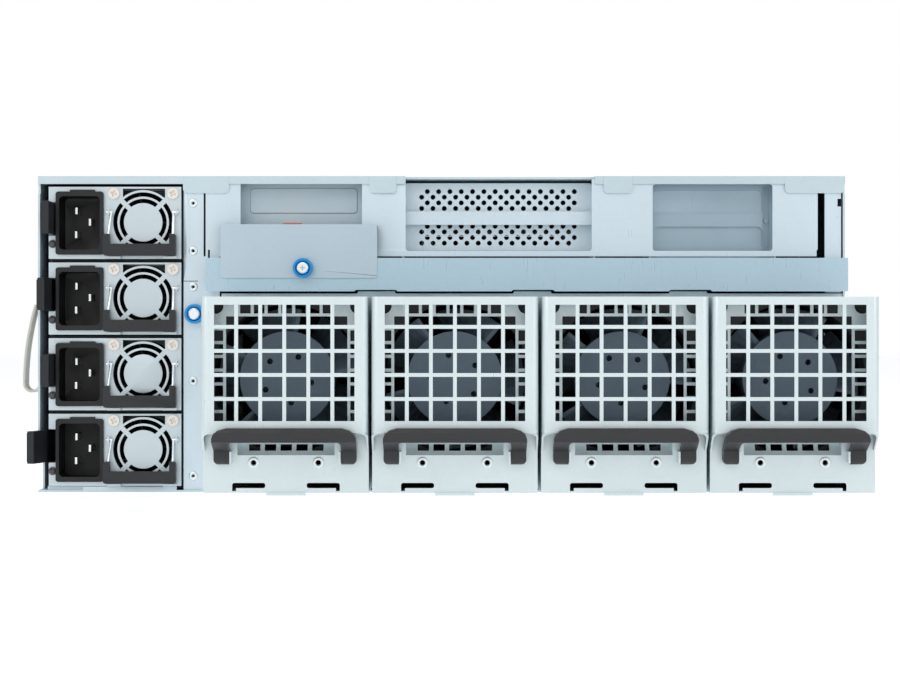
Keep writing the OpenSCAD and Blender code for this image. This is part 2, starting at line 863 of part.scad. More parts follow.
module psu_case() {
    color("whitesmoke") {
        difference() {
            span([0, 0, 0], [psu_w, psu_l, psu_h]);
            // Inside, hollow behind the face
            span([psu_wall, psu_wall + 0.5, psu_wall],
                [psu_w - psu_wall, psu_l - psu_wall, psu_h - psu_wall]);
            psu_face_cuts();
            // Window beside the latch
            span([-eps, -eps, latch_z[0] - 0.4],
                [psu_wall + eps, latch_pivot[1] + 3, latch_z[1] + 0.4]);
            // Air intake at the inner end
            for (x = [8:6:62]) {
                span([x, psu_l - 2*psu_wall, 10], [x + 4, psu_l + eps, psu_h - 6]);
            }
        }
        // Ring that carries the fan
        difference() {
            span([inlet[1][0] - 0.2, psu_fan_y, psu_wall - 0.1],
                [psu_w - psu_wall + 0.1, psu_fan_y + psu_fan_l, psu_h - psu_wall + 0.1]);
            rod_y(grille_at[0], psu_fan_y - eps, grille_at[1], psu_fan_d + 1, psu_fan_l + 2*eps);
        }
        psu_fan_spider();
        for (w = wires) {
            handle_ear(w[3]);
        }
        // Feet in front of the lower edge
        for (x = [32.9, 63.9]) {
            span([x, -4, 0], [x + 7.5, 0.1, 1.3]);
        }
        // Latch pin between its two ears
        translate([latch_pivot[0], latch_pivot[1], latch_z[0] - 1.8])
            cylinder(d = pin_d, h = latch_z[1] - latch_z[0] + 3.6);
        for (z = [latch_z[0] - 1.9, latch_z[1] + 0.5]) {
            span([0.5, latch_pivot[1] - 2, z], [4.3, latch_pivot[1] + 2, z + 1.4]);
        }
        // Status lamp
        rod_y(2.1, -0.6, 8, 3.6, 1);
        for (x = screw_x) {
            psu_screw(x);
        }
    }
}

// Low screw head with a cross recess
module psu_screw(x) {
    difference() {
        rod_y(x, -1.4, psu_h - 3.7, 6.4, 1.5);
        for (a = [0, 90]) {
            translate([x, -1.5, psu_h - 3.7]) rotate([0, a + 20, 0]) cube([3.4, 1.4, 0.8], center = true);
        }
    }
}

module psu_face_cuts() {
    upright(-eps, psu_wall + 0.5 + 2*eps) {
        // Fan grille
        translate(grille_at) difference() {
            circle(ring_out);
            circle(disc_r);
            difference() {
                circle(ring_in[1]);
                circle(ring_in[0]);
            }
            for (a = [45, 135]) {
                rotate(a) square([2*ring_out + 1, spoke_w], center = true);
            }
        }
        // Inlet
        round_span(inlet[0] + [0.8, 0.8], inlet[1] - [0.8, 0.8], 1);
        // Slot for the latch
        translate([-eps, latch_z[0] - 0.4]) square([4.8, latch_z[1] - latch_z[0] + 0.8]);
        // Opening between the two screw pads
        difference() {
            translate([41.1, psu_h - 6]) square([23.5, 5]);
            translate(grille_at) circle(grille_r);
        }
    }
}

// Motor carrier of the small fan, with its bearing bore
module psu_fan_spider() {
    difference() {
        upright(psu_fan_y + psu_fan_l - 3, 3) translate(grille_at)
            spider(14, psu_fan_d + 3, 2);
        rod_y(grille_at[0], psu_fan_y, grille_at[1], 3 + 2*run_gap, psu_fan_l + eps);
    }
}

// A disc with four diagonal arms
module spider(disc_d, arm_l, arm_w) {
    circle(d = disc_d);
    for (a = [45, 135]) {
        rotate(a) square([arm_l, arm_w], center = true);
    }
}

// Ear that carries an end of the handle's wire
module handle_ear(x) {
    y = wire_pivot[0];
    z = wire_pivot[1];
    difference() {
        span([x, y - 1.6, z - 1.6], [x + ear_w, 0.1, z + 1.6]);
        rod_x(x - eps, y, z, wire_d + 2*run_gap, ear_w + 2*eps);
    }
}

module psu_inlet() {
    color("darkslategray") {
        difference() {
            union() {
                upright(-2.2, 2.2) round_span(inlet[0], inlet[1], 1.5);
                upright(-0.1, socket_l + 2) round_span(inlet[0] + [1, 1], inlet[1] - [1, 1], 1);
                span([12, -2.2, inlet[1][1] - 0.1], [25.8, 0, inlet[1][1] + 1]);
            }
            upright(-3, socket_l + 1) round_span(socket[0], socket[1], socket_r);
        }
        // Blades: two on the left, the earth blade on the right at mid height
        for (p = [[14.5, 27], [14.3, 13.6], [22, 20.6]]) {
            span([p[0] - 0.7, 5, p[1] - 1.9], [p[0] + 0.7, socket_l - 1.9, p[1] + 1.9]);
        }
    }
}

module psu_rotor() {
    color("dimgray") {
        x = grille_at[0];
        z = grille_at[1];
        y = psu_fan_y + 1;
        rod_y(x, y, z, 18, psu_fan_l - 6);
        rod_y(x, y, z, 3, psu_fan_l);
        for (i = [0:6]) {
            translate([x, y + psu_fan_l - 7, z]) rotate([90, i*360/7, 0])
                linear_extrude(psu_fan_l - 8, twist = 50, slices = 5, $fn = 4)
                    translate([8, -0.5]) square([psu_fan_d/2 - 8.2, 1]);
        }
    }
}

module psu_handle() {
    color("dimgray") {
        upright(handle_y, handle_t) difference() {
            round_span([handle_x[0], handle_bar[0]], [handle_x[1], handle_top], 1.6);
            translate([handle_x[0] + handle_leg, handle_bar[1]])
                square([handle_x[1] - handle_x[0] - 2*handle_leg, handle_top]);
        }
        for (w = wires) {
            wire([w[0], wire_foot[0], wire_foot[1]], [w[1], wire_pivot[0], wire_pivot[1]]);
            rod_x(w[2], wire_pivot[0], wire_pivot[1], wire_d, pin_l);
        }
    }
}

// A straight wire from one point to another
module wire(a, b) {
    v = b - a;
    l = norm(v);
    translate(a) rotate([0, acos(v[2]/l), atan2(v[1], v[0])]) cylinder(d = wire_d, h = l);
}

module psu_latch(swing) {
    color("darkslategray") {
        px = latch_pivot[0];
        py = latch_pivot[1];
        translate([px, py, 0]) rotate(-swing) translate([-px, -py, 0]) difference() {
            union() {
                span([0.2, -3, latch_z[0]], [0.2 + latch_arm_t, py + 1, latch_z[1]]);
                translate([px, py, latch_z[0]])
                    cylinder(d = pin_d + 1.4, h = latch_z[1] - latch_z[0]);
                // Thumb pad with grip ribs
                span([-0.3, -20, latch_z[0]], [3.5, -2.8, latch_z[1]]);
                for (i = [0:5]) {
                    span([-1, -19.2 + i*2.8, latch_z[0] + 1], [0, -17.8 + i*2.8, latch_z[1] - 1]);
                }
            }
            translate([px, py, latch_z[0] - eps])
                cylinder(d = pin_d + 2*run_gap, h = latch_z[1] - latch_z[0] + 2*eps);
        }
    }
}

// ------------------------------------------------------------- fan modules

fan_y = rear_y - mod_out;
mod_l = mod_out + mod_in;
corner_r = 3;
win_cols = 6;
win_rows = 5;
grille_pitch = grille_hole + grille_bar;
win_z = 37.3;
// Middle of the fan above the module's underside
fan_mid = 58.5;
inner_y = 17;
frame_y = inner_y + mod_t;
bail_w = 72.7;
bail_leg = 7.7;
bail_t = 7.4;
bail_pin_y = 7.6;
bail_pin_z = 18.6;
bail_pin_d = 3;
bail_top = 33.8;
bail_bar = 7.2;
// Window of the finger plate, the slots round it and the holes in its corners
finger_w = 62.5;
finger_mid = fan_mid + 0.9;
finger_slot = [5.5, 6];
finger_pitch = 7.1;
finger_count = 7;
finger_bar = 1.5;
ring_hole_at = 36.6;
ring_hole_d = 8;
// Slanted strip under the ledge: half width, height of its foot, depth, upper edge
strip_half = 25;
strip_foot = 19.4;
strip_in = 4.2;
strip_top = 27.2;

module at_fan(n) {
    translate([fan_x + (n - 1)*fan_pitch, fan_y, fan_z]) children();
}

// The housing's outline seen from above, drawn in by an inset
module housing_plan(inset) {
    w = mod_w/2 - inset;
    v = mod_in_w/2 - inset;
    union() {
            translate([-w + corner_r, inset]) square([2*w - 2*corner_r, corner_r + 1]);
            translate([-w, inset + corner_r]) square([2*w, mod_out - 2 - inset - corner_r]);
            for (s = [-1, 1]) {
                translate([s*(w - corner_r), inset + corner_r]) circle(corner_r);
            }
            translate([-v, inset + corner_r]) square([2*v, mod_l - inset - corner_r]);
    }
}

module fan_housing() {
    color("aliceblue") {
        difference() {
            linear_extrude(mod_h) housing_plan(0);
            translate([0, 0, mod_t]) linear_extrude(mod_h - 2*mod_t) housing_plan(mod_t);
            // Open at the inner end
            span([-mod_in_w/2 + mod_t, mod_l - 2*mod_t, mod_t],
                [mod_in_w/2 - mod_t, mod_l + eps, mod_h - mod_t]);
            housing_step();
            grille_holes(-eps, mod_t + 2*eps);
        }
        housing_low_face();
        inner_plate();
        for (s = [-1, 1]) {
            bail_ear(s);
        }
    }
}

// What is cut away in front of the lower face
module housing_step() {
    side_on(-mod_w, 2*mod_w) polygon([
        [-eps, step_z], [-eps, -eps], [step_d, -eps], [step_d, step_z - 10], [0, step_z]
    ]);
}

module grille_holes(y, t) {
    upright(y, t) for (c = [0:win_cols - 1], r = [0:win_rows - 1]) {
        translate([
            (c - (win_cols - 1)/2)*grille_pitch - grille_hole/2,
            win_z + r*grille_pitch
        ]) square(grille_hole);
    }
}

module housing_low_face() {
    edge = mod_w/2 - mod_t + 0.1;
    // Ledge under the step
    span([-edge, 0.2, step_z], [edge, step_d + mod_t, step_z + mod_t]);
    difference() {
        union() {
            upright(step_d, mod_t) difference() {
                translate([-edge, 0]) square([2*edge, step_z + 0.1]);
                for (s = [-1, 1]) {
                    low_slot(s);
                }
                translate([-strip_half, strip_foot]) square([2*strip_half, strip_top - strip_foot]);
            }
            for (x = [-16.6, 16.6]) {
                rod_y(x, step_d - 0.4, 15.6, 5.9, mod_t);
            }
        }
        for (x = [-16.6, 16.6]) {
            rod_y(x, step_d - eps, 15.6, 2.5, mod_t + 2*eps);
        }
    }
    slanted_strip();
    // Lip of the tongue between the slots
    span([-10.2, step_d - 0.8, -1.3], [10.2, step_d + mod_t, 0.1]);
}

// Strip pressed in at a slant, with a row of vents
module slanted_strip() {
    y = step_d;
    difference() {
        union() {
            side_on(-strip_half - mod_t, 2*strip_half + 2*mod_t) polygon([
                [y, strip_foot - mod_t], [y + mod_t, strip_foot - mod_t],
                [y + strip_in + mod_t, strip_top], [y + strip_in, strip_top], [y, strip_foot]
            ]);
            span([-strip_half - mod_t, y, strip_top], [strip_half + mod_t, y + strip_in + mod_t, strip_top + mod_t]);
            for (x = [-strip_half - mod_t, strip_half]) {
                side_on(x, mod_t) polygon([
                    [y, strip_foot - mod_t], [y, strip_top], [y + strip_in, strip_top], [y, strip_foot]
                ]);
            }
        }
        upright(y - eps, strip_in + 3*eps) for (i = [-2:2]) {
            translate([i*8.1 - 2.95, 21.6]) square([5.9, 3.3]);
        }
    }
}

// One of the two angled slots beside the tongue
module low_slot(s) {
    mirror([s < 0 ? 1 : 0, 0]) {
        round_span([10.6, 2.5], [27.6, 5.2], 1.2);
        translate([25.6, -eps]) square([2, 5]);
    }
}

// Finger plate behind the grille: a square window with slots along three sides
module inner_plate() {
    half = mod_w/2 - mod_t + 0.1;
    low = finger_mid - finger_w/2 - finger_bar;
    upright(inner_y, mod_t) difference() {
        translate([-half, low]) square([2*half, mod_h - mod_t/2 - low]);
        translate([0, finger_mid]) {
            square(finger_w, center = true);
            for (a = [0, 90, -90]) {
                rotate(a) finger_slots();
            }
            for (s = [-1, 1]) {
                translate([s*ring_hole_at, ring_hole_at]) circle(d = ring_hole_d);
            }
        }
    }
}

// Row of slots above the window
module finger_slots() {
    for (i = [0:finger_count - 1]) {
        translate([
            (i - (finger_count - 1)/2)*finger_pitch - finger_slot[0]/2,
            finger_w/2 + finger_bar
        ]) square(finger_slot);
    }
}

module bail_ear(s) {
    x = s > 0 ? bail_w/2 - bail_leg - 1.3 : -bail_w/2 + bail_leg + 0.3;
    side_on(x, 1) translate([bail_pin_y - 3, bail_pin_z - 3]) square([step_d - bail_pin_y + 3.1, 6]);
    rod_x(s > 0 ? x : x + 1 - 7, bail_pin_y, bail_pin_z, bail_pin_d, 7);
}

module fan_frame() {
    color("darkslategray") {
        s = fan_size;
        translate([0, 0, fan_mid]) {
            difference() {
                span([-s/2, frame_y, -s/2], [s/2, frame_y + fan_l, s/2]);
                rod_y(0, frame_y - eps, 0, s - 3, fan_l + 2*eps);
            }
            // Motor carrier on four struts at the inner end
            difference() {
                upright(frame_y + fan_l - 6, 6) spider(hub_d - 6, s - 1, 4);
                rod_y(0, frame_y + fan_l - 7, 0, 6 + 2*run_gap, 8);
            }
        }
    }
}

blades = 5;
blade_l = 30;

module fan_rotor(turn) {
    color("slategray") {
        y = frame_y + 3;
        translate([0, 0, fan_mid]) {
            difference() {
                rod_y(0, y, 0, hub_d, blade_l + 6);
                for (i = [0:4]) {
                    rotate([0, -turn - i*72, 0]) rod_y(12.6, y - eps, 0, 3, 8 + eps);
                }
            }
            rod_y(0, y + 2, 0, 6, frame_y + fan_l - y - 2);
            for (i = [0:blades - 1]) {
                translate([0, y + blade_l + 3, 0]) rotate([90, -turn + i*360/blades, 0])
                    linear_extrude(blade_l, twist = 55, slices = 8, $fn = 4)
                        translate([hub_d/2 - 1, -1]) square([fan_size/2 - 2.5 - hub_d/2, 2]);
            }
        }
    }
}

module fan_bail() {
    color("dimgray") {
        difference() {
            intersection() {
                upright(-20, 40) bail_outline();
                side_on(-mod_w, 2*mod_w) bail_profile();
            }
            for (s = [-1, 1]) {
                rod_x(s > 0 ? bail_w/2 - bail_leg - eps : -bail_w/2 - eps, bail_pin_y, bail_pin_z,
                    bail_pin_d + 2*run_gap, bail_leg + 2*eps);
            }
        }
    }
}

// The bail seen from the rear
module bail_outline() {
    w = bail_w/2;
    inner = w - bail_leg;
    low = bail_pin_z - bail_t/2;
    difference() {
        intersection() {
            translate([-w, low]) square([2*w, bail_top - low]);
            union() {
                polygon([
                    [-w, bail_pin_z], [w, bail_pin_z], [w, bail_top - 5.2], [w - 0.8, bail_top - 3.1],
                    [w - 2.9, bail_top - 1.2], [w - 7, bail_top], [7 - w, bail_top],
                    [2.9 - w, bail_top - 1.2], [0.8 - w, bail_top - 3.1], [-w, bail_top - 5.2]
                ]);
                round_span([-w, low], [w, bail_pin_z + bail_t], 2.5);
            }
        }
        round_span([-inner, -10], [inner, bail_top - bail_bar], 1.8);
    }
}

// The bail seen from the side: upright at the pin, then leaning out over the step
module bail_profile() {
    back = bail_pin_y + bail_t/2;
    front = bail_pin_y - bail_t/2;
    polygon([
        [front, bail_pin_z], [back, bail_pin_z], [back, 22.4], [-0.6, 29.6], [-0.6, 34],
        [-5.2, 34], [-7.6, 31.7], [-7.6, 26.9], [front, 21.8]
    ]);
    translate([bail_pin_y, bail_pin_z]) circle(bail_t/2);
}

// ------------------------------------------------------------- cable strap

strap_w = 12;

strap_t = 1.4;
strap_z = [55, 104.5];
strap_loop_r = 5;
strap_taper = 0.62;
// Half the loop's width at a share u of its height, from the round bottom up
function strap_half(u) = strap_loop_r*(1 - strap_taper*u*u);

module cable_strap() {
    r = strap_loop_r;
    top = strap_z[1] - strap_z[0] - r;
    color("beige") translate([-chassis_w/2 - air - (1 - strap_taper)*r, rear_y + 10, strap_z[0] + r])
        upright(0, strap_w)
        difference() {
            strap_outline(r, top, 0);
            strap_outline(r, top, strap_t);
        }
}

// Teardrop outline, drawn in by an inset
module strap_outline(r, top, inset) {
    steps = 12;
    lean = strap_taper*r;
    polygon(concat(
        [for (i = [0:24]) let (a = 180 + i*7.5) [(r - inset)*cos(a) - lean, (r - inset)*sin(a)]],
        [for (i = [1:steps]) let (u = i/steps)
            [strap_half(u) - inset - lean*(1 - u*u), u*(top - inset)]],
        [for (i = [steps:-1:1]) let (u = i/steps)
            [-strap_half(u) + inset - lean*(1 - u*u), u*(top - inset)]]
    ));
}

// ------------------------------------------------------------------- nodes

chassis_base();
rear_panel();
psu_cage();
fan_cage();
crossbar();
deck_tray();
top_cover();
cover_plate();
captive_screws();
io_blank();
pull_tab();
slot_covers();
slot_bracket();
mainboard();
cpu_heatsinks();
memory_modules();
gpu_board();
gpu_cards();
front_panel();
rack_ears();
power_button();
drive_1();
drive_2();
cable_strap();
for (n = [1:4]) {
    at_psu(n) psu_case();
    at_psu(n) psu_inlet();
    at_psu(n) psu_rotor();
    at_psu(n) psu_handle();
    at_psu(n) psu_latch(latch_swing[n - 1]);
    at_fan(n) fan_housing();
    at_fan(n) fan_frame();
    at_fan(n) fan_rotor(hub_turn[n - 1]);
    at_fan(n) fan_bail();
}
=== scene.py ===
"""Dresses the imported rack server: camera, strap, materials, small fittings, floor and light."""
import math

import bmesh
import bpy
from mathutils import Matrix, Vector


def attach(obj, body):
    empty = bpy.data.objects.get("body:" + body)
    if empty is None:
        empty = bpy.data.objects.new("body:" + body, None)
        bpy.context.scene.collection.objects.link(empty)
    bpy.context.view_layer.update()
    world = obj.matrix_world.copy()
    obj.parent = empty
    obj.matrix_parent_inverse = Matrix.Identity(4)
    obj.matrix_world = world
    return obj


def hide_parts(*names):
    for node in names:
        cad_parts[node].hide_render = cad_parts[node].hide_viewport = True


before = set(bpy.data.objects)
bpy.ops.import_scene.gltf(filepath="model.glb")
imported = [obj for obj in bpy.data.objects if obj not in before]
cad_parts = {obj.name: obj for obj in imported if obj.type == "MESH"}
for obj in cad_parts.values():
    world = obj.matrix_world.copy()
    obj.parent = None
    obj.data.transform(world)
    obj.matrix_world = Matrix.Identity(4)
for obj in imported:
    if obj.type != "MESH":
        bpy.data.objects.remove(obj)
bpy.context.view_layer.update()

MM = 0.001
# Places of the modelled pieces, in millimetres
PSU_X, PSU_Z, PSU_PITCH, REAR = -218.0, 3.5, 42.0, -347.5
FAN_X, FAN_PITCH, FAN_Y, FAN_Z = -79.4, 86.6, -452.5, 6.1
# Within a fan module: height of its axis, place of the hub's face, radius of the ring on it
FAN_AXIS_Z, HUB_FACE_Y, HUB_RING_R = 58.5, 20.93, 19.5
# Within a power supply: place of its status lamp, middle of each inlet blade
LAMP_X, LAMP_Z = 2.2, 8.3
BLADES = ((14.5, 27.0), (14.3, 13.6), (22.0, 20.6))
# Steel heads of the two thumbscrews: middle of each one's back, radius
STRIP_SCREW = (-137.0, REAR - 4.4, 99.0)
COVER_SCREW = (-76.0, REAR - 17.05, 124.0)
SCREW_HEAD_R = 3.2
scene = bpy.context.scene


# ------------------------------------------------------------------ camera

def make_camera():
    """Looks straight at the rear face, as the photograph does."""
    data = bpy.data.cameras.new("view")
    data.lens = 88
    data.sensor_width = 36
    data.clip_start, data.clip_end = 0.01, 50
    cam = bpy.data.objects.new("view", data)
    scene.collection.objects.link(cam)
    cam.location = (0.0047, -1.5685, 0.0856)
    cam.rotation_euler = (math.radians(90), 0, 0)
    scene.camera = cam


make_camera()


# ---------------------------------------------------------------- materials

class Mat:
    """A node material under construction: a Principled shader with what is wired into it."""

    def __init__(self, name, rough=0.5, metal=0.0, specular=0.5, coat=0.0):
        self.m = bpy.data.materials.new(name)
        self.m.use_nodes = True
        self.t = self.m.node_tree
        self.t.nodes.clear()
        out = self.add("OutputMaterial")
        self.p = self.add("BsdfPrincipled")
        self.link(self.p.outputs["BSDF"], out.inputs["Surface"])
        self.p.inputs["Roughness"].default_value = rough
        self.p.inputs["Metallic"].default_value = metal
        self.p.inputs["Specular IOR Level"].default_value = specular
        self.p.inputs["Coat Weight"].default_value = coat
        self.where = self.add("TexCoord").outputs["Object"]
        self.normal = None

    def add(self, kind, **values):
        n = self.t.nodes.new("ShaderNode" + kind)
        for k, v in values.items():
            setattr(n, k, v)
        return n

    def link(self, a, b):
        self.t.links.new(a, b)

    def stretched(self, scale):
        """Object coordinates scaled on each axis."""
        n = self.add("Mapping")
        n.inputs["Scale"].default_value = scale
        self.link(self.where, n.inputs["Vector"])
        return n.outputs["Vector"]

    def noise(self, scale, detail=3.0, rough=0.55, stretch=None, distortion=0.0):
        n = self.add("TexNoise")
        n.inputs["Scale"].default_value = scale
        n.inputs["Detail"].default_value = detail
        n.inputs["Roughness"].default_value = rough
        n.inputs["Distortion"].default_value = distortion
        self.link(self.stretched(stretch) if stretch else self.where, n.inputs["Vector"])
        return n.outputs["Fac"]

    def cells(self, scale, feature="F1", stretch=None, output="Distance"):
        n = self.add("TexVoronoi", feature=feature)
        n.inputs["Scale"].default_value = scale
        self.link(self.stretched(stretch) if stretch else self.where, n.inputs["Vector"])
        return n.outputs[output]

    def wave(self, scale, axis="X", distortion=0.0):
        n = self.add("TexWave", bands_direction=axis)
        n.inputs["Scale"].default_value = scale
        n.inputs["Distortion"].default_value = distortion
        self.link(self.where, n.inputs["Vector"])
        return n.outputs["Fac"]

    def span(self, fac, lo, hi, a=0.0, b=1.0):
        """Maps fac from lo..hi to a..b, clamped."""
        n = self.add("MapRange")
        for i, v in enumerate((lo, hi, a, b), 1):
            n.inputs[i].default_value = v
        self.link(fac, n.inputs[0])
        return n.outputs[0]

    def math(self, op, a, b=None):
        n = self.add("Math", operation=op)
        for i, v in enumerate((a, b)):
            if v is None:
                continue
            if isinstance(v, (int, float)):
                n.inputs[i].default_value = v
            else:
                self.link(v, n.inputs[i])
        return n.outputs[0]

    def mix(self, fac, a, b, kind="MIX"):
        """Mixes two colours, each a socket or three numbers."""
        n = self.add("Mix", data_type="RGBA", blend_type=kind)
        if isinstance(fac, (int, float)):
            n.inputs[0].default_value = fac
        else:
            self.link(fac, n.inputs[0])
        for i, v in ((6, a), (7, b)):
            if isinstance(v, (tuple, list)):
                n.inputs[i].default_value = (*v, 1)
            else:
                self.link(v, n.inputs[i])
        return n.outputs[2]

    def worn(self, radius):
        """Share of wear: high along outward and inward edges within radius."""
        bevel = self.add("Bevel", samples=4)
        bevel.inputs["Radius"].default_value = radius
        geo = self.add("NewGeometry")
        dot = self.add("VectorMath", operation="DOT_PRODUCT")
        self.link(bevel.outputs["Normal"], dot.inputs[0])
        self.link(geo.outputs["Normal"], dot.inputs[1])
        return self.span(dot.outputs["Value"], 0.985, 0.80)

    def axis(self, which):
        """One of the object coordinates, in millimetres."""
        n = self.add("SeparateXYZ")
        self.link(self.where, n.inputs[0])
        return self.math("DIVIDE", n.outputs[which], MM)

    def colour(self, c):
        if isinstance(c, (tuple, list)):
            self.p.inputs["Base Color"].default_value = (*c, 1)
        else:
            self.link(c, self.p.inputs["Base Color"])

    def roughness(self, socket):
        self.link(socket, self.p.inputs["Roughness"])

    def metallic(self, socket):
        self.link(socket, self.p.inputs["Metallic"])

    def bump(self, height, strength=0.3, distance=0.0002):
        n = self.add("Bump")
        n.inputs["Strength"].default_value = strength
        n.inputs["Distance"].default_value = distance
        self.link(height, n.inputs["Height"])
        if self.normal:
            self.link(self.normal, n.inputs["Normal"])
        self.normal = n.outputs["Normal"]
        self.link(self.normal, self.p.inputs["Normal"])


def shade(c, k):
    return tuple(min(1.0, x*k) for x in c)


def zinc(name, base, rough=0.42, metal=0.55, grain=(1, 1, 14), streak=0.05, edge=1.12):
    """Zinc-plated sheet: cloudy plating, streaks along one axis, fine scratches, pale edges."""
    m = Mat(name, metal=metal)
    cloud = m.noise(9, 4, 0.6)
    lines = m.noise(240, 3, 0.6, stretch=grain)
    fleck = m.cells(900, output="Color")
    tone = m.mix(m.span(cloud, 0.3, 0.7), shade(base, 1 - streak), shade(base, 1 + 0.6*streak))
    tone = m.mix(m.span(lines, 0.35, 0.65, 0, 0.35), tone, shade(base, 0.93))
    sep = m.add("SeparateColor")
    m.link(fleck, sep.inputs[0])
    tone = m.mix(m.span(sep.outputs[0], 0.0, 1.0, 0.0, 0.10), tone, shade(base, 0.80))
    wear = m.worn(0.0006)
    tone = m.mix(m.math("MULTIPLY", wear, 0.6), tone, shade(base, edge))
    m.colour(tone)
    r = m.span(m.noise(55, 4, 0.65), 0.3, 0.7, rough - 0.07, rough + 0.08)
    scratch = m.span(m.noise(70, 2, 0.5, stretch=(30, 30, 1), distortion=0.4), 0.66, 0.72, 0, 0.12)
    m.roughness(m.math("SUBTRACT", r, scratch))
    m.bump(lines, 0.10, 0.00006)
    m.bump(m.noise(1500, 2), 0.12, 0.00004)
    return m.m


def plastic(name, base, rough=0.5, grain=1400, depth=0.25, specular=0.4, edge=1.7, coat=0.0):
    """Moulded plastic: spark-eroded grain, slight flow variation, rubbed edges."""
    m = Mat(name, rough=rough, specular=specular, coat=coat)
    flow = m.noise(22, 3, 0.5)
    tone = m.mix(m.span(flow, 0.3, 0.7), shade(base, 0.92), shade(base, 1.10))
    dust = m.span(m.noise(160, 5, 0.7), 0.60, 0.80, 0, 0.18)
    tone = m.mix(dust, tone, shade(base, 1.5))
    tone = m.mix(m.math("MULTIPLY", m.worn(0.0005), 0.55), tone, shade(base, edge))
    m.colour(tone)
    m.roughness(m.span(m.noise(90, 3), 0.3, 0.7, rough - 0.06, rough + 0.08))
    m.bump(m.cells(grain), depth, 0.00005)
    m.bump(m.noise(grain*0.6, 2), depth*0.6, 0.00005)
    return m.m


def bright_metal(name, base, rough=0.22, brushed=(1, 1, 20)):
    """Bare plated wire or pressed steel with fine drawn lines."""
    m = Mat(name, metal=1.0)
    lines = m.noise(500, 3, 0.6, stretch=brushed)
    tone = m.mix(m.span(lines, 0.3, 0.7), shade(base, 0.90), shade(base, 1.05))
    tone = m.mix(m.math("MULTIPLY", m.worn(0.0004), 0.5), tone, shade(base, 1.15))
    m.colour(tone)
    m.roughness(m.span(m.noise(120, 4), 0.3, 0.7, rough - 0.06, rough + 0.10))
    m.bump(lines, 0.12, 0.00004)
    return m.m


def board(name, base, trace):
    """Circuit board: solder mask over fine copper runs, vias and a mottled weave."""
    m = Mat(name, rough=0.38, specular=0.5, coat=0.2)
    runs_x = m.span(m.wave(150, "X", 2.5), 0.72, 0.80)
    runs_y = m.span(m.wave(120, "Y", 3.0), 0.74, 0.82)
    patch = m.span(m.noise(35, 1), 0.48, 0.52)
    runs = m.math("ADD", m.math("MULTIPLY", runs_x, patch),
                  m.math("MULTIPLY", runs_y, m.math("SUBTRACT", 1, patch)))
    tone = m.mix(m.span(m.noise(400, 3), 0.3, 0.7), shade(base, 0.85), shade(base, 1.15))
    tone = m.mix(m.math("MULTIPLY", runs, 0.5), tone, trace)
    via = m.span(m.cells(420), 0.10, 0.06)
    tone = m.mix(m.math("MULTIPLY", via, 0.8), tone, (0.55, 0.48, 0.30))
    m.colour(tone)
    m.bump(runs, 0.25, 0.00004)
    m.roughness(m.span(m.noise(80, 3), 0.3, 0.7, 0.30, 0.46))
    return m.m


def webbing(name, base):
    """Woven hook-and-loop tape: warp and weft threads, a fuzzy face, soft yellowing."""
    m = Mat(name, rough=0.9, specular=0.2)
    m.p.inputs["Sheen Weight"].default_value = 0.35
    m.p.inputs["Sheen Roughness"].default_value = 0.5
    warp = m.wave(330, "Y", 0.6)
    weft = m.wave(330, "Z", 0.6)
    fuzz = m.noise(2600, 5, 0.75)
    tone = m.mix(m.span(warp, 0.2, 0.8, 0, 0.5), base, shade(base, 0.82))
    tone = m.mix(m.span(weft, 0.2, 0.8, 0, 0.4), tone, shade(base, 0.86))
    yellowed = (base[0], base[1]*0.97, base[2]*0.88)
    tone = m.mix(m.span(m.noise(30, 3), 0.4, 0.7, 0, 0.5), tone, yellowed)
    tone = m.mix(m.span(fuzz, 0.4, 0.8, 0, 0.25), tone, shade(base, 1.08))
    m.colour(tone)
    m.bump(warp, 0.5, 0.00018)
    m.bump(weft, 0.5, 0.00018)
    m.bump(fuzz, 0.6, 0.00012)
    return m.m


def inlet_plastic(name, base):
    """Inlet plastic whose recess is darkened with painted shade, blacker than its frame."""
    m = Mat(name, specular=0.35)
    recess_shade = m.span(m.axis("Y"), REAR - 1.9, REAR - 0.4)
    tone = m.mix(m.span(m.noise(22, 3, 0.5), 0.3, 0.7), shade(base, 0.9), shade(base, 1.12))
    tone = m.mix(m.math("MULTIPLY", m.worn(0.0005), 0.5), tone, shade(base, 1.7))
    # Painted shade: surfaces deeper in the socket are darkened towards near-black
    tone = m.mix(m.math("MULTIPLY", recess_shade, 0.9), tone, (0.0012, 0.0013, 0.0016))
    m.colour(tone)
    m.roughness(m.span(m.noise(90, 3), 0.3, 0.7, 0.38, 0.52))
    m.bump(m.cells(1400), 0.25, 0.00005)
    return m.m


